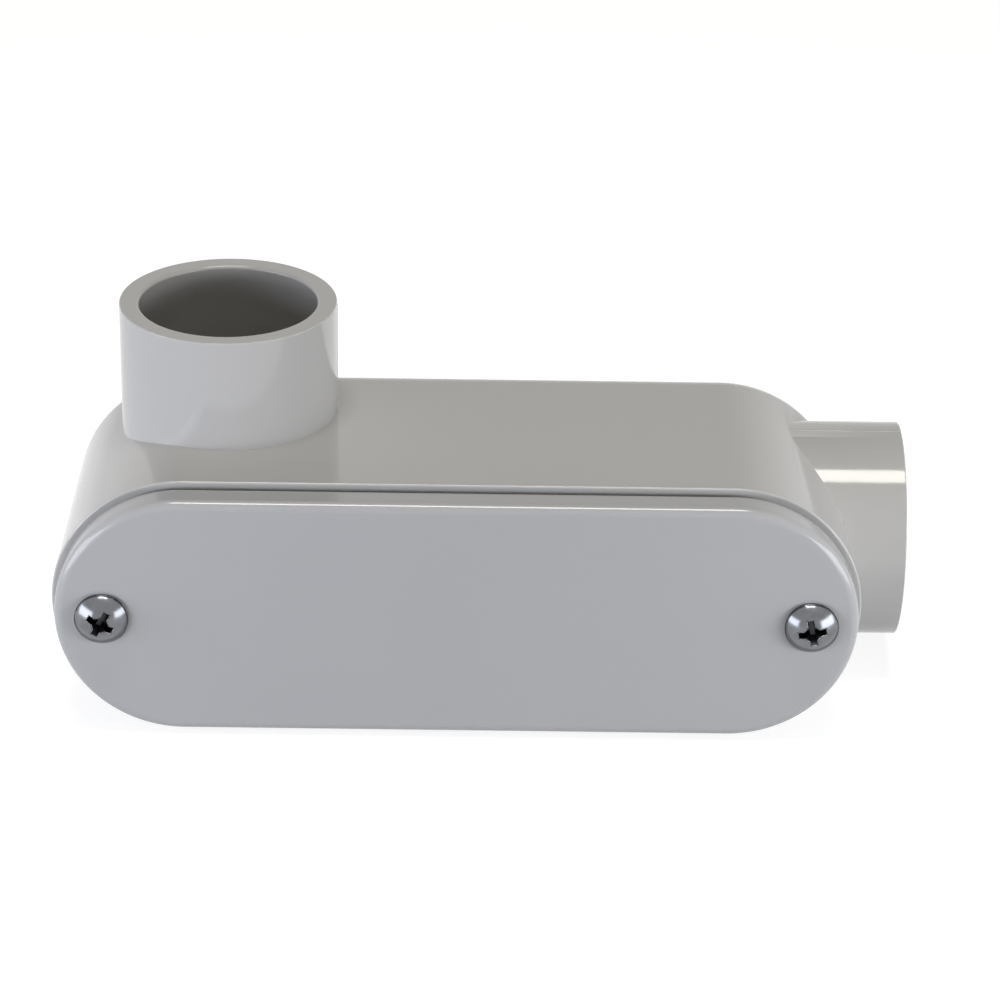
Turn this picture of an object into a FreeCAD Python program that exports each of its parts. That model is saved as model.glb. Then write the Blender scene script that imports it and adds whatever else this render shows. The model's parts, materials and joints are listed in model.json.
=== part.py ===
"""Rigid PVC conduit body of the L pattern: a long moulded housing with a socket hub
on one side and one at the far end, closed by a gasketed cover and two screws.

Millimetres, +Z up. The long axis lies along X, the cover faces -Y, the side hub
points up (+Z) and the end hub points along +X. The origin is the middle of the
overall box, on the surface that the part rests on.
"""
import FreeCAD, Part
import math
import os

# ---- conduit and sockets -------------------------------------------------------
CONDUIT_OD = 26.67          # 3/4 in trade size rigid PVC conduit
SOCKET_CLEARANCE = 0.13     # radial play round the conduit before it is cemented
SOCKET_DEPTH = 18.3         # from the hub's mouth to the stop
STOP_STEP = 2.2             # radial width of the shoulder that the conduit butts on
STOP_THICKNESS = 2.2        # wall between the end socket and the wire chamber
LEAD_IN = 0.6               # bevel of the mouth's inner edge
MOUTH_EDGE = 0.2            # bevel of the mouth's outer edge
HUB_OD = 33.0

# ---- housing -------------------------------------------------------------------
RIM_LENGTH = 121.0
RIM_HEIGHT = 39.6
BODY_DEPTH = 44.4
DRAFT = 0.7                 # each side closes in by this much from rim to back
WALL = 3.0
BACK_ROUND = 6.4
FLOOR_BEVEL = 1.5           # inside corner between the chamber's wall and floor
RIM_EDGE = 0.25             # bevel of the rim's outer edge
HUB_SET_IN = 0.2            # back of each hub, in from the flat back
SIDE_HUB_INSET = 25.2       # hub axis in from the end of the rim
SIDE_HUB_RISE = 17.25       # hub mouth above the top of the rim
END_HUB_REACH = 7.7         # hub mouth beyond the end of the rim
SHELF_RISE = 7.0            # solid beside the end socket, forward of its axis

# ---- gasket and cover ----------------------------------------------------------
GASKET_THICKNESS = 1.0
GASKET_WIDTH = 2.6
GASKET_INSET = 0.8          # gasket edge in from the cover's edge
GASKET_EAR = 4.6            # radius of the gasket round each screw
COVER_INSET = 0.8           # cover edge in from the rim's edge
COVER_THICKNESS = 4.6
COVER_PLATE = 2.6
COVER_SKIRT = 3.0
COVER_ROUND = 1.4           # front edge, rounded in three straight cuts
COVER_PAD = 5.2             # radius of the thick pad under each screw head

# ---- cover screws, No. 8-32 x 1/2 in pan head ----------------------------------
SCREW_INSET = 7.9           # in from each end of the rim
SCREW_MAJOR = 4.17
SCREW_LENGTH = 12.7         # under the head
SCREW_TIP = 0.6             # chamfer at the tip
HEAD_DIAMETER = 8.0
HEAD_HEIGHT = 2.9
HEAD_BAND = 0.7             # upright part of the head's side
HEAD_STEPS = 4              # straight steps that the head's dome is turned in
CROSS_WIDTH = 4.3           # tip to tip across the recess at the top of the head
CROSS_WING = 1.15           # thickness of each wing there
CROSS_DEPTH = 2.1
CROSS_TAPER = 0.35          # bottom of the recess as a share of its mouth
LEFT_TURN = 30.0            # how far each recess stands turned, in degrees
RIGHT_TURN = -11.0
THREAD_CLEARANCE = 0.05     # radial, screw in the housing's boss
HOLE_CLEARANCE = 0.2        # radial, screw in the cover
BOSS_DIAMETER = 8.4
BOSS_WEB = 5.0              # web that ties the boss to the end wall
PILOT_SPARE = 1.6           # pilot hole beyond the screw's tip

# ---- worked out from the above -------------------------------------------------
HUB_R = HUB_OD / 2
SOCKET_R = CONDUIT_OD / 2 + SOCKET_CLEARANCE
THROAT_R = SOCKET_R - STOP_STEP
RIM_R = RIM_HEIGHT / 2
ARC_X = RIM_LENGTH / 2 - RIM_R               # centre of the round ends
CAVITY_DEPTH = BODY_DEPTH - WALL
HUB_Y = BODY_DEPTH - HUB_SET_IN - HUB_R       # both hubs lie in the mould's parting plane
SIDE_HUB_X = SIDE_HUB_INSET - RIM_LENGTH / 2
SIDE_MOUTH_Z = RIM_R + SIDE_HUB_RISE
END_MOUTH_X = RIM_LENGTH / 2 + END_HUB_REACH
CHAMBER_END_X = END_MOUTH_X - SOCKET_DEPTH - STOP_THICKNESS
SHELF_Y = HUB_Y - SHELF_RISE
COVER_R = RIM_R - COVER_INSET
COVER_BACK_Y = -GASKET_THICKNESS
COVER_FRONT_Y = COVER_BACK_Y - COVER_THICKNESS
# second cuts, which leave three equal flats along the cover's front edge
EDGE_TRIM = COVER_ROUND * math.sqrt(2) / (2 + math.sqrt(2) + 2 * math.cos(math.pi / 8))
SCREW_X = RIM_LENGTH / 2 - SCREW_INSET
SCREW_TIP_Y = COVER_FRONT_Y + SCREW_LENGTH
PILOT_R = SCREW_MAJOR / 2 + THREAD_CLEARANCE
BOSS_R = BOSS_DIAMETER / 2

# the middle of the overall box, at the foot of the rim
BOX_FRONT_Y = COVER_FRONT_Y - HEAD_HEIGHT
MIDDLE = FreeCAD.Vector((END_MOUTH_X - RIM_LENGTH / 2) / 2, (BODY_DEPTH + BOX_FRONT_Y) / 2, -RIM_R)

TOUCH = 1e-3                                 # two places closer than this are the same
X_AXIS = FreeCAD.Vector(1, 0, 0)
Y_AXIS = FreeCAD.Vector(0, 1, 0)
Z_AXIS = FreeCAD.Vector(0, 0, 1)


def obround_wire(half_height, y):
    """Closed outline in the plane at y: two straights joined by half circles."""
    def at(x, z):
        return FreeCAD.Vector(x, y, z)
    top_left, top_right = at(-ARC_X, half_height), at(ARC_X, half_height)
    low_left, low_right = at(-ARC_X, -half_height), at(ARC_X, -half_height)
    right_arc = Part.Arc(top_right, at(ARC_X + half_height, 0), low_right).toShape()
    left_arc = Part.Arc(low_left, at(-ARC_X - half_height, 0), top_left).toShape()
    top = Part.LineSegment(top_left, top_right).toShape()
    bottom = Part.LineSegment(low_right, low_left).toShape()
    return Part.Wire([top, right_arc, bottom, left_arc])


def obround_prism(half_height, y_from, y_to):
    face = Part.Face(obround_wire(half_height, y_from))
    return face.extrude(Y_AXIS * (y_to - y_from))


def drafted_obround(half_height, depth, narrowing):
    """Obround block from the rim plane back, its sides leaning in by narrowing."""
    back_height = half_height - narrowing

    def section(height, y):
        corners = [(-ARC_X, -height), (ARC_X, -height), (ARC_X, height), (-ARC_X, height)]
        points = [FreeCAD.Vector(x, y, z) for x, z in corners]
        return Part.makePolygon(points + points[:1])
    middle = Part.makeLoft([section(half_height, 0), section(back_height, depth)], True, True)
    ends = [
        Part.makeCone(half_height, back_height, depth, FreeCAD.Vector(x, 0, 0), Y_AXIS)
        for x in (-ARC_X, ARC_X)
    ]
    return middle.fuse(ends).removeSplitter()


def edges_in_plane_y(shape, y):
    return [e for e in shape.Edges if all(abs(v.Point.y - y) < TOUCH for v in e.Vertexes)]


def disc(radius, x, y_from, y_to):
    """Cylinder along Y on the screws' centre line."""
    return Part.makeCylinder(radius, y_to - y_from, FreeCAD.Vector(x, y_from, 0), Y_AXIS)


# ---- housing -------------------------------------------------------------------
def housing_outside():
    block = drafted_obround(RIM_R, BODY_DEPTH, DRAFT)
    block = block.makeFillet(BACK_ROUND, edges_in_plane_y(block, BODY_DEPTH))
    side_hub = Part.makeCylinder(HUB_R, SIDE_MOUTH_Z, FreeCAD.Vector(SIDE_HUB_X, HUB_Y, 0), Z_AXIS)
    side_hub = bevel_mouth(side_hub, lambda p: abs(p.z - SIDE_MOUTH_Z) < TOUCH)
    end_hub = Part.makeCylinder(HUB_R, END_MOUTH_X, FreeCAD.Vector(0, HUB_Y, 0), X_AXIS)
    end_hub = bevel_mouth(end_hub, lambda p: abs(p.x - END_MOUTH_X) < TOUCH)
    return block.fuse([side_hub, end_hub])


def bevel_mouth(hub, at_mouth):
    """Break the outer edge of a plain hub cylinder at its mouth."""
    rims = [e for e in hub.Edges if e.Closed and all(at_mouth(v.Point) for v in e.Vertexes)]
    return hub.makeChamfer(MOUTH_EDGE, rims)


def socket_cutter():
    """Socket with its bevelled mouth, along +Z with the mouth at z = 0."""
    outline = [(0, LEAD_IN), (SOCKET_R + 2 * LEAD_IN, LEAD_IN), (SOCKET_R, -LEAD_IN),
               (SOCKET_R, -SOCKET_DEPTH), (0, -SOCKET_DEPTH)]
    points = [FreeCAD.Vector(x, 0, z) for x, z in outline]
    section = Part.Face(Part.makePolygon(points + points[:1]))
    return section.revolve(FreeCAD.Vector(0, 0, 0), Z_AXIS, 360)


def side_socket():
    socket = socket_cutter()
    socket.translate(FreeCAD.Vector(SIDE_HUB_X, HUB_Y, SIDE_MOUTH_Z))
    throat_top = SIDE_MOUTH_Z - SOCKET_DEPTH
    throat = Part.makeCylinder(THROAT_R, throat_top, FreeCAD.Vector(SIDE_HUB_X, HUB_Y, 0), Z_AXIS)
    return socket.fuse(throat)


def end_socket():
    socket = socket_cutter()
    socket.rotate(FreeCAD.Vector(0, 0, 0), Y_AXIS, 90)
    socket.translate(FreeCAD.Vector(END_MOUTH_X, HUB_Y, 0))
    start_x = CHAMBER_END_X - WALL
    throat = Part.makeCylinder(
        THROAT_R, END_MOUTH_X - SOCKET_DEPTH - start_x, FreeCAD.Vector(start_x, HUB_Y, 0), X_AXIS)
    return socket.fuse(throat)


def wire_chamber():
    """The hollow behind the cover, less the socket wall and the screw bosses."""
    hollow = drafted_obround(RIM_R - WALL, CAVITY_DEPTH, DRAFT)
    hollow = hollow.makeChamfer(FLOOR_BEVEL, edges_in_plane_y(hollow, CAVITY_DEPTH))
    reach = RIM_LENGTH / 2 - CHAMBER_END_X
    socket_wall = Part.makeCylinder(HUB_R, reach, FreeCAD.Vector(CHAMBER_END_X, HUB_Y, 0), X_AXIS)
    shelf = Part.makeBox(
        reach, BODY_DEPTH - SHELF_Y, RIM_HEIGHT, FreeCAD.Vector(CHAMBER_END_X, SHELF_Y, -RIM_R))
    return hollow.cut([socket_wall, shelf, screw_boss(-1, BODY_DEPTH), screw_boss(1, HUB_Y)])


def screw_boss(side, depth):
    """Post for one cover screw, tied to the end wall by a web."""
    post = disc(BOSS_R, side * SCREW_X, 0, depth)
    web_x = min(side * SCREW_X, side * RIM_LENGTH / 2)
    web = Part.makeBox(
        RIM_LENGTH / 2 - SCREW_X, depth, BOSS_WEB, FreeCAD.Vector(web_x, 0, -BOSS_WEB / 2))
    return post.fuse(web)


def make_housing():
    body = housing_outside()
    body = body.cut(wire_chamber())
    body = body.cut(side_socket())
    body = body.cut(end_socket())
    pilot_end = SCREW_TIP_Y + PILOT_SPARE
    body = body.cut([disc(PILOT_R, -SCREW_X, 0, pilot_end), disc(PILOT_R, SCREW_X, 0, pilot_end)])
    outer_rim = [
        e for e in edges_in_plane_y(body, 0)
        if all(abs(rim_distance(p)) < TOUCH for p in e.discretize(5))
    ]
    return body.makeChamfer(RIM_EDGE, outer_rim)


def rim_distance(point):
    """How far a point in the rim plane lies outside the rim's outer outline."""
    beyond = max(abs(point.x) - ARC_X, 0)
    return math.hypot(beyond, point.z) - RIM_R


# ---- gasket and cover ----------------------------------------------------------
def make_gasket():
    outer = COVER_R - GASKET_INSET
    ring = obround_prism(outer, COVER_BACK_Y, 0)
    ring = ring.cut(obround_prism(outer - GASKET_WIDTH, COVER_BACK_Y, 0))
    inside = obround_prism(outer, COVER_BACK_Y, 0)
    for x in (-SCREW_X, SCREW_X):
        ear = disc(GASKET_EAR, x, COVER_BACK_Y, 0).common(inside)
        ring = ring.fuse(ear)
    holes = [disc(SCREW_MAJOR / 2 + HOLE_CLEARANCE, x, COVER_BACK_Y, 0) for x in (-SCREW_X, SCREW_X)]
    return ring.cut(holes).removeSplitter()


def make_cover():
    plate = obround_prism(COVER_R, COVER_FRONT_Y, COVER_BACK_Y)
    plate = plate.makeChamfer(COVER_ROUND - EDGE_TRIM, edges_in_plane_y(plate, COVER_FRONT_Y))
    for y in (COVER_FRONT_Y, COVER_FRONT_Y + COVER_ROUND - EDGE_TRIM):
        plate = plate.makeChamfer(EDGE_TRIM, edges_in_plane_y(plate, y))
    recess_y = COVER_FRONT_Y + COVER_PLATE
    recess = obround_prism(COVER_R - COVER_SKIRT, recess_y, COVER_BACK_Y)
    pads = [disc(COVER_PAD, x, recess_y, COVER_BACK_Y) for x in (-SCREW_X, SCREW_X)]
    holes = [
        disc(SCREW_MAJOR / 2 + HOLE_CLEARANCE, x, COVER_FRONT_Y, COVER_BACK_Y)
        for x in (-SCREW_X, SCREW_X)
    ]
    return plate.cut(recess.cut(pads)).cut(holes)


# ---- screws --------------------------------------------------------------------
def pan_head_screw():
    """Screw along +Y from the underside of its head, which lies at y = 0."""
    shank_r = SCREW_MAJOR / 2
    outline = [
        (0, SCREW_LENGTH),
        (shank_r - SCREW_TIP, SCREW_LENGTH),
        (shank_r, SCREW_LENGTH - SCREW_TIP),
        (shank_r, 0),
        (HEAD_DIAMETER / 2, 0),
    ]
    points = [FreeCAD.Vector(x, y, 0) for x, y in outline + dome_outline()]
    section = Part.Face(Part.makePolygon(points + points[:1]))
    return section.revolve(FreeCAD.Vector(0, 0, 0), Y_AXIS, 360)


def dome_outline():
    """Points from the head's upright side over its dome to the crown."""
    head_r = HEAD_DIAMETER / 2
    rise = HEAD_HEIGHT - HEAD_BAND
    dome_r = (head_r ** 2 + rise ** 2) / (2 * rise)
    side_angle = math.asin(head_r / dome_r)
    angles = [side_angle * (1 - step / HEAD_STEPS) for step in range(HEAD_STEPS + 1)]
    return [(dome_r * math.sin(a), dome_r * (1 - math.cos(a)) - HEAD_HEIGHT) for a in angles]


def cross_recess():
    """Cross recess that sinks from the top of the head, each wing tapering inwards."""
    def wing_outline(share, y):
        half_long = CROSS_WIDTH * share / 2
        half_thick = CROSS_WING * (share + 1) / 4
        corners = [(-half_long, -half_thick), (half_long, -half_thick),
                   (half_long, half_thick), (-half_long, half_thick)]
        points = [FreeCAD.Vector(x, y, z) for x, z in corners]
        return Part.makePolygon(points + points[:1])
    bottom_y = CROSS_DEPTH - HEAD_HEIGHT
    wing = Part.makeLoft([wing_outline(1.0, -HEAD_HEIGHT), wing_outline(CROSS_TAPER, bottom_y)], True, True)
    other = wing.copy()
    other.rotate(FreeCAD.Vector(0, 0, 0), Y_AXIS, 90)
    return wing.fuse(other)


def make_screw(x, turn):
    screw = pan_head_screw().cut(cross_recess())
    screw.rotate(FreeCAD.Vector(0, 0, 0), Y_AXIS, turn)
    screw.translate(FreeCAD.Vector(x, COVER_FRONT_Y, 0))
    return screw


# ---- one file per piece --------------------------------------------------------
pieces = {
    "housing": make_housing(),
    "gasket": make_gasket(),
    "cover": make_cover(),
    "cover_screw_left": make_screw(-SCREW_X, LEFT_TURN),
    "cover_screw_right": make_screw(SCREW_X, RIGHT_TURN),
}

os.makedirs("parts", exist_ok=True)
for name, shape in pieces.items():
    shape.translate(-MIDDLE)
    shape.exportStep("parts/" + name + ".step")
    box = shape.BoundBox
    print(name, "solids", len(shape.Solids), "valid", shape.isValid(), "volume", round(shape.Volume, 1),
          "x", round(box.XMin, 2), round(box.XMax, 2), "y", round(box.YMin, 2), round(box.YMax, 2),
          "z", round(box.ZMin, 2), round(box.ZMax, 2))
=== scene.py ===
"""Looks of a rigid PVC conduit body of the L pattern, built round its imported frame.

Metres, in the frame's own axes: the cover faces -Y, the side hub points up and the
end hub points along +X. After the camera, pieces come in the order in which the
fitting is put together: housing, gasket, cover, screws. The studio comes last.
"""
import json
import math

import bpy
from mathutils import Matrix, Vector


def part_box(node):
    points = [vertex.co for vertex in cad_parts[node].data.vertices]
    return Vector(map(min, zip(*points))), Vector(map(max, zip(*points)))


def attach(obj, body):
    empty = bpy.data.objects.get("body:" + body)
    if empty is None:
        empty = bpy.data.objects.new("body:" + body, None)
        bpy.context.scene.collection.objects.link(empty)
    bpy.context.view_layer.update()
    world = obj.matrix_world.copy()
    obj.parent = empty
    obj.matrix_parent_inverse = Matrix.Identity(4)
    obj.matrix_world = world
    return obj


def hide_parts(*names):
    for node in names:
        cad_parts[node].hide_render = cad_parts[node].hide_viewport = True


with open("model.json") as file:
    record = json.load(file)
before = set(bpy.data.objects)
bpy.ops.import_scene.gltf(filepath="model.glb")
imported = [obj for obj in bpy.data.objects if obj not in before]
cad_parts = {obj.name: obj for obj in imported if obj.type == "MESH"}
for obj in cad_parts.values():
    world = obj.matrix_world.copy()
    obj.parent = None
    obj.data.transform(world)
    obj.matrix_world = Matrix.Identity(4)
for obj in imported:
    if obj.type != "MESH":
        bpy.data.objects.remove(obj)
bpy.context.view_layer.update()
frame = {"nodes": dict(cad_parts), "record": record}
mounts = {mount["name"]: mount for mount in frame["record"]["mounts"]}

# ---- camera --------------------------------------------------------------------
# A long lens, half a metre in front of the cover and looking down on it, so that the
# cover is seen nearly square on and the side hub's mouth shows as a narrow ellipse.
camera_place = (-0.0033, -0.51891, 0.28325)
camera_yaw = -0.639
camera_dip = 26.15
camera_roll = 1.031
camera_data = bpy.data.cameras.new("camera")
camera_data.sensor_width = 36
camera_data.lens = 136.28
camera_data.clip_start = 0.01
camera = bpy.data.objects.new("camera", camera_data)
bpy.context.scene.collection.objects.link(camera)
camera.matrix_world = (
    Matrix.Translation(camera_place)
    @ Matrix.Rotation(math.radians(camera_yaw), 4, "Z")
    @ Matrix.Rotation(math.radians(90 - camera_dip), 4, "X")
    @ Matrix.Rotation(math.radians(camera_roll), 4, "Z")
)
bpy.context.scene.camera = camera


# ---- housing -------------------------------------------------------------------
# One injection moulding in light grey PVC: an obround body that leans in slightly from
# its rim to its rounded back, with a socket hub on its side and another at its end. It
# is hollow behind the cover, and holds a post for each cover screw.
def select_only(piece):
    bpy.ops.object.select_all(action="DESELECT")
    piece.select_set(True)
    bpy.context.view_layer.objects.active = piece


def settle(piece, name):
    """Name a new primitive and move its place and turn into its mesh."""
    piece.name = name
    piece.data.name = name
    select_only(piece)
    bpy.ops.object.transform_apply(location=True, rotation=True, scale=True)
    return piece


def bar(name, radius, start, end, sides=96):
    """Round bar between two points, with a half-step turn so that no corner lies on an axis."""
    run = Vector(end) - Vector(start)
    turn = run.to_track_quat("Z", "Y").to_matrix().to_4x4()
    turn = turn @ Matrix.Rotation(math.pi / sides, 4, "Z")
    bpy.ops.mesh.primitive_cylinder_add(
        vertices=sides, radius=radius, depth=run.length,
        location=(Vector(start) + Vector(end)) / 2, rotation=turn.to_euler())
    return settle(bpy.context.active_object, name)


def block(name, low, high):
    """Box between two opposite corners."""
    low, high = Vector(low), Vector(high)
    bpy.ops.mesh.primitive_cube_add(size=1, location=(low + high) / 2, scale=high - low)
    return settle(bpy.context.active_object, name)


def open_with(piece, kind, chosen):
    """Go into edit mode with the vertices, edges or faces selected that chosen() picks."""
    select_only(piece)
    bpy.ops.object.mode_set(mode="EDIT")
    bpy.ops.mesh.select_mode(type=kind)
    bpy.ops.mesh.select_all(action="DESELECT")
    bpy.ops.object.mode_set(mode="OBJECT")
    vertices = piece.data.vertices
    if kind == "EDGE":
        for edge in piece.data.edges:
            edge.select = chosen(*[vertices[i].co for i in edge.vertices])
    elif kind == "FACE":
        for face in piece.data.polygons:
            face.select = chosen(face.center, face.normal)
    else:
        for vertex in vertices:
            vertex.select = chosen(vertex.co)
    bpy.ops.object.mode_set(mode="EDIT")


def round_edges(piece, width, steps, chosen):
    open_with(piece, "EDGE", chosen)
    bpy.ops.mesh.bevel(offset=width, segments=steps, profile=0.5, affect="EDGES", clamp_overlap=False)
    bpy.ops.object.mode_set(mode="OBJECT")


def join_solids(piece, tool, how):
    """Unite two solids or cut the second out of the first, and use the second one up."""
    select_only(piece)
    step = piece.modifiers.new(how, "BOOLEAN")
    step.operation = how
    step.solver = "EXACT"
    step.object = tool
    bpy.ops.object.modifier_apply(modifier=step.name)
    bpy.data.objects.remove(tool)
    return piece


def obround(name, centre, arc_x, radius, depth, narrowing=0.0, sides=96):
    """Block with an obround front at centre, running back by depth and leaning in."""
    turn = Matrix.Rotation(math.radians(-90), 4, "X") @ Matrix.Rotation(math.pi / sides, 4, "Z")
    bpy.ops.mesh.primitive_cone_add(
        vertices=sides, radius1=radius, radius2=radius - narrowing, depth=depth,
        location=Vector(centre) + Vector((0, depth / 2, 0)), rotation=turn.to_euler())
    piece = settle(bpy.context.active_object, name)
    for side in (-1, 1):
        open_with(piece, "VERT", lambda co: side * (co.x - centre.x) > 0)
        bpy.ops.transform.translate(value=(side * arc_x, 0, 0))
        bpy.ops.object.mode_set(mode="OBJECT")
    return piece


def smooth_finish(piece, angle=32):
    """Smooth shading over the rounds, with flat faces kept flat."""
    select_only(piece)
    bpy.ops.object.mode_set(mode="EDIT")
    bpy.ops.mesh.select_all(action="SELECT")
    bpy.ops.mesh.remove_doubles(threshold=1e-6)
    bpy.ops.object.mode_set(mode="OBJECT")
    bpy.ops.object.shade_smooth_by_angle(angle=math.radians(angle))
    step = piece.modifiers.new("even_normals", "WEIGHTED_NORMAL")
    step.keep_sharp = True
    step.weight = 80
    bpy.ops.object.modifier_apply(modifier=step.name)


x_axis, y_axis, z_axis = Vector((1, 0, 0)), Vector((0, 1, 0)), Vector((0, 0, 1))
overrun = 0.001  # how far a cutter runs past the face that it opens
hair = 1e-5  # two places closer than this are the same

housing_low, housing_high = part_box("housing")
rim_length = 0.121
rim_height = 0.0396
rim_edge = 0.0003
draft = 0.0007
wall = 0.003
back_round = 0.0064
floor_round = 0.0018
hub_radius = 0.0165
end_hub_reach = 0.0077
mouth_edge = 0.0002
lead_in = 0.0006
socket_depth = 0.0183
stop_step = 0.0022
stop_thickness = 0.0022
shelf_rise = 0.007
side_throat_run = 0.02
end_throat_run = 0.004
seam_radius = 0.00013
seam_sunk = 0.00006
side_seam_run = 0.0225
end_seam_run = 0.022
screw_inset = 0.0079
shank_radius = 0.002085
post_radius = 0.0042
web_half = 0.0025
pilot_play = 0.00005
pilot_depth = 0.0088

rim_radius = rim_height / 2
rim_arc_x = rim_length / 2 - rim_radius
rim_centre = Vector((
    housing_high.x - end_hub_reach - rim_length / 2, housing_low.y, rim_radius))
body_depth = housing_high.y - housing_low.y
screw_x = rim_length / 2 - screw_inset
side_axis = Vector(mounts["side_socket"]["pos_m"])
end_axis = Vector(mounts["end_socket"]["pos_m"])
side_mouth = Vector((side_axis.x, side_axis.y, housing_high.z))
end_mouth = Vector((housing_high.x, end_axis.y, end_axis.z))
socket_radius = mounts["side_socket"]["dims"]["r_mm"] / 1000
throat_radius = socket_radius - stop_step


def hub_from(name, inner, mouth):
    """Plain hub with its mouth's outer edge rounded."""
    hub = bar(name, hub_radius, inner, mouth, sides=128)
    along = (mouth - inner).normalized()
    round_edges(hub, mouth_edge, 3, lambda a, b: all(
        (co - mouth).dot(along) > -hair for co in (a, b)))
    return hub


def around(point, axis_point, axis, radius, slack=2e-5):
    """True where a point lies at that radius round the axis."""
    across = (point - axis_point) - axis * (point - axis_point).dot(axis)
    return abs(across.length - radius) < slack


def cut_at_screws(piece, radius, front_y, back_y, sides=48):
    """Cut a round hole along Y at each of the two cover screws."""
    for side in (-1, 1):
        x = rim_centre.x + side * screw_x
        cutter = bar("cutter", radius, (x, front_y, rim_centre.z), (x, back_y, rim_centre.z), sides)
        join_solids(piece, cutter, "DIFFERENCE")


housing = obround("housing_moulding", rim_centre, rim_arc_x, rim_radius, body_depth, draft, sides=128)
round_edges(housing, back_round, 12, lambda a, b: min(a.y, b.y) > housing_high.y - hair)
round_edges(housing, rim_edge, 3, lambda a, b: max(a.y, b.y) < housing_low.y + hair)
side_hub = hub_from("side_hub", Vector((side_mouth.x, side_mouth.y, rim_centre.z)), side_mouth)
join_solids(housing, side_hub, "UNION")
end_hub = hub_from("end_hub", Vector((rim_centre.x, end_mouth.y, end_mouth.z)), end_mouth)
join_solids(housing, end_hub, "UNION")

# the mould's parting line, a fine raised seam along both sides of each hub
for mouth, along, outward, run in (
        (end_mouth, x_axis, z_axis, end_seam_run), (side_mouth, z_axis, x_axis, side_seam_run)):
    for side in (-1, 1):
        line = mouth + outward * side * (hub_radius - seam_sunk)
        seam = bar("seam", seam_radius, line - along * run, line - along * 2 * mouth_edge, sides=12)
        join_solids(housing, seam, "UNION")

# the hollow behind the cover, less the end socket's wall and the screw posts
chamber = obround(
    "chamber", rim_centre - y_axis * overrun, rim_arc_x, rim_radius - wall,
    body_depth - wall + overrun, draft)
chamber_end_x = end_mouth.x - socket_depth - stop_thickness
shelf_y = end_mouth.y - shelf_rise
floor_y = housing_high.y - wall
round_edges(chamber, floor_round, 5, lambda a, b: min(a.y, b.y) > floor_y - hair)
end_fill = block("end_fill", (chamber_end_x, shelf_y, 0), (end_mouth.x, housing_high.y, rim_height))
join_solids(chamber, end_fill, "DIFFERENCE")
socket_wall = bar("socket_wall", hub_radius, (chamber_end_x, end_mouth.y, end_mouth.z), end_mouth)
join_solids(chamber, socket_wall, "DIFFERENCE")
post_front_y = housing_low.y - 2 * overrun
for side, post_end in ((-1, housing_high.y), (1, end_mouth.y)):
    x = rim_centre.x + side * screw_x
    wall_x = rim_centre.x + side * rim_length / 2
    web = block(
        "web", (min(x, wall_x), post_front_y, rim_centre.z - web_half),
        (max(x, wall_x), post_end, rim_centre.z + web_half))
    join_solids(chamber, web, "DIFFERENCE")
    post = bar(
        "post", post_radius, (x, post_front_y, rim_centre.z), (x, post_end, rim_centre.z), sides=64)
    join_solids(chamber, post, "DIFFERENCE")
join_solids(housing, chamber, "DIFFERENCE")
cut_at_screws(housing, shank_radius + pilot_play, housing_low.y - overrun, housing_low.y + pilot_depth)

for mouth, along, throat_run in (
        (side_mouth, z_axis, side_throat_run), (end_mouth, x_axis, end_throat_run)):
    stop = mouth - along * socket_depth
    bore = bar("bore", socket_radius, stop, mouth + along * overrun, sides=128)
    join_solids(housing, bore, "DIFFERENCE")
    throat = bar("throat", throat_radius, stop - along * throat_run, stop + along * overrun)
    join_solids(housing, throat, "DIFFERENCE")
    round_edges(housing, lead_in, 4, lambda a, b: all(
        (co - mouth).dot(along) > -hair and around(co, mouth, along, socket_radius) for co in (a, b)))

smooth_finish(housing)
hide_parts("housing")
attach(housing, "housing")


def moulded_surface():
    """Node group: the faint shade drift, sheen drift and flow ripple of a moulded face."""
    group = bpy.data.node_groups.new("moulded_surface", "ShaderNodeTree")
    for name in ("Drift", "Gloss", "Ripple"):
        group.interface.new_socket(name, in_out="OUTPUT", socket_type="NodeSocketFloat")
    nodes, links = group.nodes, group.links
    place = nodes.new("ShaderNodeTexCoord")
    out = nodes.new("NodeGroupOutput")
    for name, scale, detail in (("Drift", 22, 3), ("Gloss", 60, 4), ("Ripple", 260, 2)):
        noise = nodes.new("ShaderNodeTexNoise")
        noise.inputs["Scale"].default_value = scale
        noise.inputs["Detail"].default_value = detail
        links.new(place.outputs["Object"], noise.inputs["Vector"])
        links.new(noise.outputs["Fac"], out.inputs[name])
    return group


def shade_between(material, mask, dark, light):
    """Let the colour drift from dark to light as the mask goes from 0 to 1."""
    nodes, links = material.node_tree.nodes, material.node_tree.links
    shade = nodes.new("ShaderNodeMix")
    shade.data_type = "RGBA"
    shade.inputs["A"].default_value = (*dark, 1)
    shade.inputs["B"].default_value = (*light, 1)
    links.new(mask, shade.inputs["Factor"])
    links.new(shade.outputs["Result"], nodes["Principled BSDF"].inputs["Base Color"])


def dull_between(material, mask, low, high):
    """Let the roughness drift from low to high as the mask goes from 0 to 1."""
    nodes, links = material.node_tree.nodes, material.node_tree.links
    dulling = nodes.new("ShaderNodeMapRange")
    dulling.inputs["To Min"].default_value = low
    dulling.inputs["To Max"].default_value = high
    links.new(mask, dulling.inputs["Value"])
    links.new(dulling.outputs["Result"], nodes["Principled BSDF"].inputs["Roughness"])


def raise_with(material, height, strength):
    """Bump the surface within a tenth of a millimetre."""
    nodes, links = material.node_tree.nodes, material.node_tree.links
    bump = nodes.new("ShaderNodeBump")
    bump.inputs["Strength"].default_value = strength
    bump.inputs["Distance"].default_value = 0.0001
    links.new(height, bump.inputs["Height"])
    links.new(bump.outputs["Normal"], nodes["Principled BSDF"].inputs["Normal"])


surface_group = moulded_surface()


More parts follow.
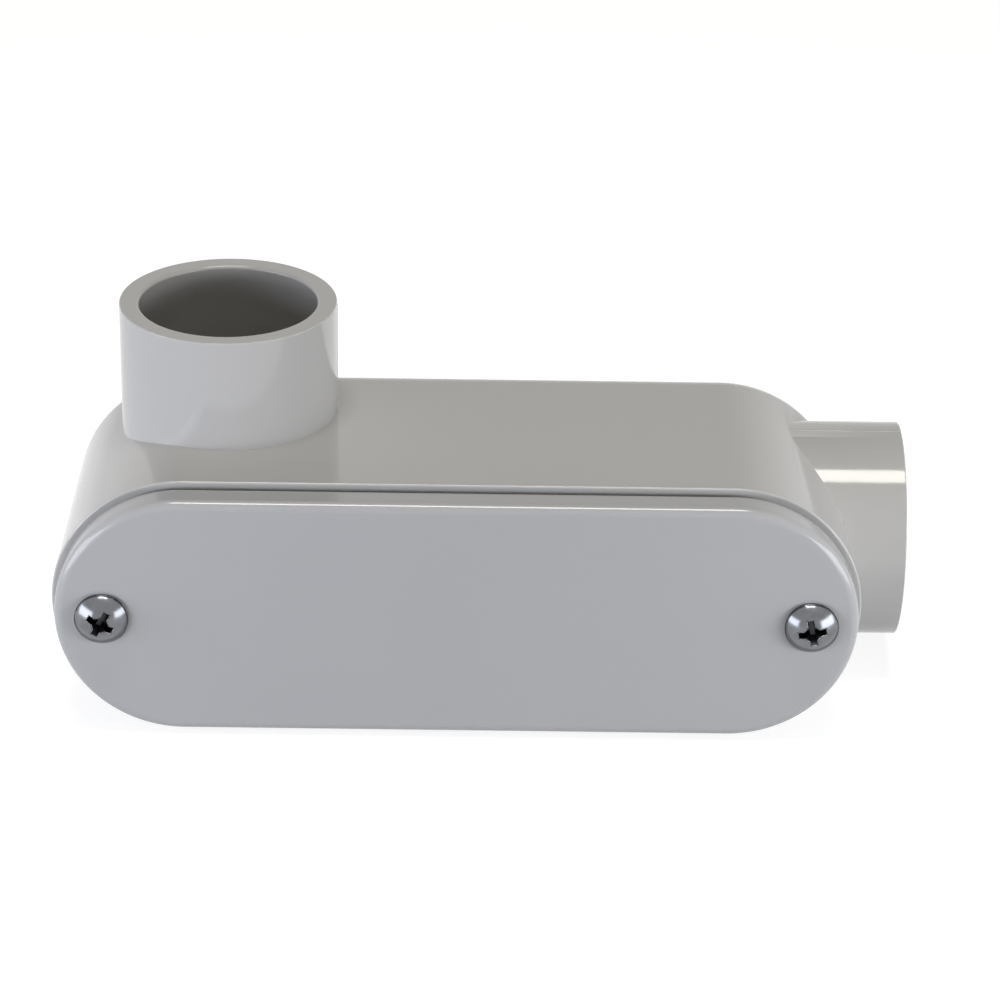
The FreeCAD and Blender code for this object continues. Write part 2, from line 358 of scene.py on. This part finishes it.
def pvc(name, dark, light, roughness, ripple):
    """Glossy rigid PVC in a shade that drifts between dark and light."""
    material = bpy.data.materials.new(name)
    material.use_nodes = True
    nodes = material.node_tree.nodes
    nodes["Principled BSDF"].inputs["IOR"].default_value = 1.53
    surface = nodes.new("ShaderNodeGroup")
    surface.node_tree = surface_group
    shade_between(material, surface.outputs["Drift"], dark, light)
    dull_between(material, surface.outputs["Gloss"], *roughness)
    raise_with(material, surface.outputs["Ripple"], ripple)
    return material


def finish_with(piece, material):
    """Give a piece one finish all over."""
    piece.data.materials.clear()
    piece.data.materials.append(material)


finish_with(housing, pvc(
    "housing_pvc", dark=(0.405, 0.4, 0.39), light=(0.43, 0.424, 0.414), roughness=(0.08, 0.13),
    ripple=0.05))

# ---- gasket --------------------------------------------------------------------
# Ring of black closed-cell rubber, die cut from sheet, with an ear and a hole for each
# screw. It lies on the rim and shows as a dark line under the cover's edge.
gasket_rubber = bpy.data.materials.new("gasket_rubber")
gasket_rubber.use_nodes = True
gasket_nodes = gasket_rubber.node_tree.nodes
gasket_nodes["Principled BSDF"].inputs["Roughness"].default_value = 0.8
gasket_place = gasket_nodes.new("ShaderNodeTexCoord")
gasket_cells = gasket_nodes.new("ShaderNodeTexVoronoi")
gasket_cells.inputs["Scale"].default_value = 2500
gasket_rubber.node_tree.links.new(gasket_place.outputs["Object"], gasket_cells.inputs["Vector"])
shade_between(
    gasket_rubber, gasket_cells.outputs["Distance"], dark=(0.012, 0.012, 0.012), light=(0.03, 0.03, 0.03))
raise_with(gasket_rubber, gasket_cells.outputs["Distance"], strength=0.4)
finish_with(frame["nodes"]["gasket"], gasket_rubber)

# ---- cover ---------------------------------------------------------------------
# One moulding in the same PVC: a plate with a rounded front edge and a skirt behind it
# that presses on the gasket. The back is hollow between the pads for the two screws.
cover_low, cover_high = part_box("cover")
cover_plate = 0.0026
cover_skirt = 0.003
cover_round = 0.0014
cover_back_edge = 0.00015
cover_pad = 0.0052
cover_play = 0.0002
cover_radius = (cover_high.z - cover_low.z) / 2
cover_thickness = cover_high.y - cover_low.y
cover_front = Vector((rim_centre.x, cover_low.y, rim_centre.z))

cover = obround("cover_moulding", cover_front, rim_arc_x, cover_radius, cover_thickness, sides=128)
round_edges(cover, cover_round, 8, lambda a, b: max(a.y, b.y) < cover_low.y + hair)
round_edges(cover, cover_back_edge, 2, lambda a, b: min(a.y, b.y) > cover_high.y - hair)
cover_hollow = obround(
    "cover_hollow", cover_front + y_axis * cover_plate, rim_arc_x, cover_radius - cover_skirt,
    cover_thickness)
cut_at_screws(cover_hollow, cover_pad, cover_low.y, cover_high.y + cover_thickness, sides=64)
join_solids(cover, cover_hollow, "DIFFERENCE")
cut_at_screws(cover, shank_radius + cover_play, cover_low.y - overrun, cover_high.y + overrun)
smooth_finish(cover)
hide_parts("cover")
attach(cover, "cover")
finish_with(cover, pvc(
    "cover_pvc", dark=(0.344, 0.345, 0.349), light=(0.366, 0.366, 0.369), roughness=(0.1, 0.15),
    ripple=0.05))

# ---- cover screws --------------------------------------------------------------
# No. 8-32 pan head machine screws in bright zinc-plated steel, with a cross recess. The
# head is cold formed and domed, and the thread is rolled over the whole shank.
head_radius = 0.004
head_height = 0.0029
head_band = 0.0007
seat_clear = 0.0002
cross_width = 0.0053
cross_wing = 0.0011
cross_depth = 0.0023
cross_taper = (0.4, 1, 0.62)
cross_edge = 0.0001
cross_overrun = 0.0004
core_mouth = 0.00195
core_bottom = 0.0006
# depth below the dome past which the recess faces get the painted shade
shade_depth = 0.00008
thread_pitch = 0.025400 / 32
thread_depth = 0.00042
thread_half_root = thread_pitch * 0.44
thread_half_crest = 0.00003
thread_crest = shank_radius - 0.00001
thread_root = shank_radius - thread_depth - 0.00004
dome_rise = head_height - head_band
dome_radius = (head_radius ** 2 + dome_rise ** 2) / (2 * dome_rise)


def dome_centre(under):
    """Middle of the sphere that the head's dome is part of."""
    return under + y_axis * (dome_radius - head_height)


def turn_about(piece, point, degrees):
    """Turn a mesh about the line along Y through a point."""
    turn = Matrix.Rotation(math.radians(degrees), 4, "Y")
    piece.data.transform(Matrix.Translation(point) @ turn @ Matrix.Translation(-point))


def domed_head(under):
    """Cap of a sphere on a short upright band, over a flat underside."""
    bpy.ops.mesh.primitive_uv_sphere_add(
        segments=64, ring_count=96, radius=dome_radius, location=dome_centre(under),
        rotation=(math.pi / 2, 0, 0))
    head = settle(bpy.context.active_object, "head")
    # bisect takes what lies within 0.1 mm of its plane as on it: the flat comes at the ring
    # before the plane, and the strip up to the next ring stays on as a narrow fin
    open_with(head, "FACE", lambda middle, normal: True)
    bpy.ops.mesh.bisect(
        plane_co=under - y_axis * head_band, plane_no=y_axis, use_fill=True, clear_outer=True)
    bpy.ops.object.mode_set(mode="OBJECT")
    open_with(head, "FACE", lambda middle, normal: normal.y > 0.9)
    bpy.ops.mesh.extrude_region_move(TRANSFORM_OT_translate={"value": (0, head_band, 0)})
    bpy.ops.object.mode_set(mode="OBJECT")
    return head


def cross_tool(under):
    """Two crossed wings round a pointed core, all narrower towards the recess' bottom."""
    depth = cross_depth + cross_overrun
    middle = under - y_axis * (head_height + cross_overrun - depth / 2)
    bottom_y = middle.y + depth / 2
    tool = None
    for turn in (0, 90):
        bpy.ops.mesh.primitive_cube_add(size=1, location=middle, scale=(cross_width, depth, cross_wing))
        wing = settle(bpy.context.active_object, "wing")
        open_with(wing, "VERT", lambda co: co.y > bottom_y - hair)
        bpy.ops.transform.resize(value=cross_taper, center_override=under)
        bpy.ops.object.mode_set(mode="OBJECT")
        turn_about(wing, under, turn)
        tool = wing if tool is None else join_solids(tool, wing, "UNION")
    bpy.ops.mesh.primitive_cone_add(
        vertices=4, radius1=core_mouth, radius2=core_bottom, depth=depth, location=middle,
        rotation=(-math.pi / 2, 0, 0))
    core = settle(bpy.context.active_object, "core")
    return join_solids(tool, core, "UNION")


def shade_and_round_recess(screw, under, dull):
    """Paint shade into the recess with a near black, rougher zinc, and break the edge round its mouth."""
    centre = dome_centre(under)
    mesh = screw.data
    mesh.materials.append(dull)
    finishes_at = {}
    for face in mesh.polygons:
        sunk = dome_radius - (face.center - centre).length
        reach = math.hypot(face.center.x - under.x, face.center.z - under.z)
        in_head = face.center.y < under.y - seat_clear
        # faces sunk this deep inside the cross get the near black zinc, a painted shade
        if sunk > shade_depth and reach < cross_width / 2 and in_head:
            face.material_index = 1
        for key in face.edge_keys:
            finishes_at.setdefault(key, set()).add(face.material_index)
    mouth = {
        frozenset(tuple(mesh.vertices[i].co) for i in key)
        for key, finishes in finishes_at.items() if len(finishes) == 2
    }
    open_with(screw, "EDGE", lambda a, b: frozenset((tuple(a), tuple(b))) in mouth)
    bpy.ops.mesh.bevel(offset=cross_edge, segments=3, affect="EDGES", clamp_overlap=False, material=0)
    bpy.ops.object.mode_set(mode="OBJECT")


def rolled_thread(under, length):
    """Core of the shank with one thread wound round it from the tip to the head."""
    core = bar("core", shank_radius - thread_depth, under, under + y_axis * length, sides=48)
    start = under.y + thread_pitch * 0.8
    bpy.ops.mesh.primitive_plane_add(size=1, location=((thread_root + thread_crest) / 2, start, 0))
    bpy.context.active_object.scale = (thread_crest - thread_root, 2 * thread_half_root, 1)
    thread = settle(bpy.context.active_object, "thread")
    open_with(thread, "VERT", lambda co: co.x > thread_crest - hair)
    bpy.ops.transform.resize(
        value=(1, thread_half_crest / thread_half_root, 1), center_override=(thread_crest, start, 0))
    bpy.ops.mesh.select_mode(type="FACE")
    bpy.ops.mesh.select_all(action="SELECT")
    bpy.ops.mesh.delete(type="ONLY_FACE")
    bpy.ops.object.mode_set(mode="OBJECT")
    wind = thread.modifiers.new("wind", "SCREW")
    wind.axis = "Y"
    wind.screw_offset = thread_pitch
    wind.iterations = int(length / thread_pitch - 2)
    wind.steps = 40
    wind.render_steps = 40
    bpy.ops.object.modifier_apply(modifier=wind.name)
    thread.data.transform(Matrix.Translation((under.x, 0, under.z)))
    open_with(thread, "EDGE", lambda a, b: False)
    bpy.ops.mesh.select_non_manifold()
    bpy.ops.mesh.fill_holes(sides=8)
    bpy.ops.mesh.select_all(action="SELECT")
    bpy.ops.mesh.normals_make_consistent(inside=False)
    bpy.ops.object.mode_set(mode="OBJECT")
    return core, thread


def zinc_plate(name, dark, light, roughness):
    """Zinc over steel, a little blue, finely scuffed."""
    material = bpy.data.materials.new(name)
    material.use_nodes = True
    nodes, links = material.node_tree.nodes, material.node_tree.links
    nodes["Principled BSDF"].inputs["Metallic"].default_value = 1
    place = nodes.new("ShaderNodeTexCoord")
    scuffs = nodes.new("ShaderNodeTexNoise")
    scuffs.inputs["Scale"].default_value = 900
    scuffs.inputs["Detail"].default_value = 5
    links.new(place.outputs["Object"], scuffs.inputs["Vector"])
    shade_between(material, scuffs.outputs["Fac"], dark, light)
    dull_between(material, scuffs.outputs["Fac"], *roughness)
    return material


zinc = zinc_plate("zinc_plate", (0.13, 0.137, 0.15), (0.22, 0.225, 0.237), roughness=(0.13, 0.24))
# painted shade: a near black, rougher zinc that stands for the shade inside the cross recess
recess_shade_zinc = zinc_plate("zinc_recess_painted_shade", (0.03, 0.032, 0.035), (0.06, 0.062, 0.066), roughness=(0.25, 0.4))
for node, turn in (("cover_screw_left", 30), ("cover_screw_right", -11)):
    screw_low, screw_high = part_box(node)
    under = Vector((
        (screw_low.x + screw_high.x) / 2, screw_low.y + head_height, (screw_low.z + screw_high.z) / 2))
    screw = domed_head(under)
    join_solids(screw, cross_tool(under), "DIFFERENCE")
    screw.name = node + "_plated"
    finish_with(screw, zinc)
    shade_and_round_recess(screw, under, recess_shade_zinc)
    core, thread = rolled_thread(under, screw_high.y - under.y)
    finish_with(core, zinc)
    finish_with(thread, zinc)
    select_only(screw)
    core.select_set(True)
    thread.select_set(True)
    bpy.ops.object.join()
    turn_about(screw, under, turn)
    smooth_finish(screw, angle=40)
    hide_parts(node)
    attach(screw, "screw_left" if node.endswith("left") else "screw_right")


# ---- studio --------------------------------------------------------------------
# A pale table in a white room, with a softbox just past each end of the fitting, a low
# fill beside each and a broad strip light overhead. The fills aren't mirrored.
def seen_directly(nodes, links):
    """Mask that is 1 for rays from the camera, off gloss or through glass, and else 0."""
    path = nodes.new("ShaderNodeLightPath")
    seen = path.outputs["Is Camera Ray"]
    for ray in ("Is Glossy Ray", "Is Transmission Ray"):
        either = nodes.new("ShaderNodeMath")
        either.operation = "MAXIMUM"
        links.new(seen, either.inputs[0])
        links.new(path.outputs[ray], either.inputs[1])
        seen = either.outputs[0]
    return seen


table_size = 6
table_grey = 0.38
table_glow = 0.8
room_dimmed = 0.06
lamp_aim = Vector((0, 0, 0.02))

bpy.ops.mesh.primitive_plane_add(size=table_size, location=(0, 0, 0))
table = settle(bpy.context.active_object, "table")
table_top = bpy.data.materials.new("table_top")
table_top.use_nodes = True
table_nodes, table_links = table_top.node_tree.nodes, table_top.node_tree.links
table_shader = table_nodes["Principled BSDF"]
table_shader.inputs["Base Color"].default_value = (table_grey, table_grey, table_grey, 1)
table_shader.inputs["Roughness"].default_value = 0.9
glow = table_nodes.new("ShaderNodeMath")
glow.operation = "MULTIPLY"
glow.inputs[1].default_value = table_glow
table_links.new(seen_directly(table_nodes, table_links), glow.inputs[0])
table_shader.inputs["Emission Color"].default_value = (1, 1, 1, 1)
table_links.new(glow.outputs[0], table_shader.inputs["Emission Strength"])
finish_with(table, table_top)

room = bpy.data.worlds.new("studio")
bpy.context.scene.world = room
room.use_nodes = True
room_nodes, room_links = room.node_tree.nodes, room.node_tree.links
room_level = room_nodes.new("ShaderNodeMapRange")
room_level.inputs["To Min"].default_value = room_dimmed
room_level.inputs["To Max"].default_value = 1.0
room_links.new(seen_directly(room_nodes, room_links), room_level.inputs["Value"])
room_links.new(room_level.outputs["Result"], room_nodes["Background"].inputs["Strength"])
room_nodes["Background"].inputs["Color"].default_value = (1, 1, 1, 1)


def softbox(name, place, width, height, watts, colour, mirrored=True):
    """Rectangular area light that faces the middle of the fitting."""
    data = bpy.data.lights.new(name, "AREA")
    data.shape = "RECTANGLE"
    data.size = width
    data.size_y = height
    data.energy = watts
    data.color = colour
    lamp = bpy.data.objects.new(name, data)
    bpy.context.scene.collection.objects.link(lamp)
    facing = (lamp_aim - Vector(place)).to_track_quat("-Z", "Y").to_matrix().to_4x4()
    lamp.matrix_world = Matrix.Translation(place) @ facing
    lamp.visible_glossy = mirrored


softbox("left_softbox", (-0.27, -0.14, 0.062), 0.26, 0.12, 0.47, (0.86, 0.89, 1.0))
softbox("right_softbox", (0.27, -0.14, 0.062), 0.26, 0.12, 0.45, (0.94, 0.96, 1.0))
softbox("left_fill", (-0.25, -0.26, 0.05), 0.16, 0.08, 0.42, (0.88, 0.91, 1.0), mirrored=False)
softbox("right_fill", (0.3, -0.21, 0.065), 0.16, 0.08, 0.5, (0.93, 0.95, 1.0), mirrored=False)
softbox("overhead_strip", (0, -0.1, 0.9), 0.42, 0.23, 4.0, (1.0, 0.96, 0.88))
bpy.context.scene.view_settings.view_transform = "Standard"
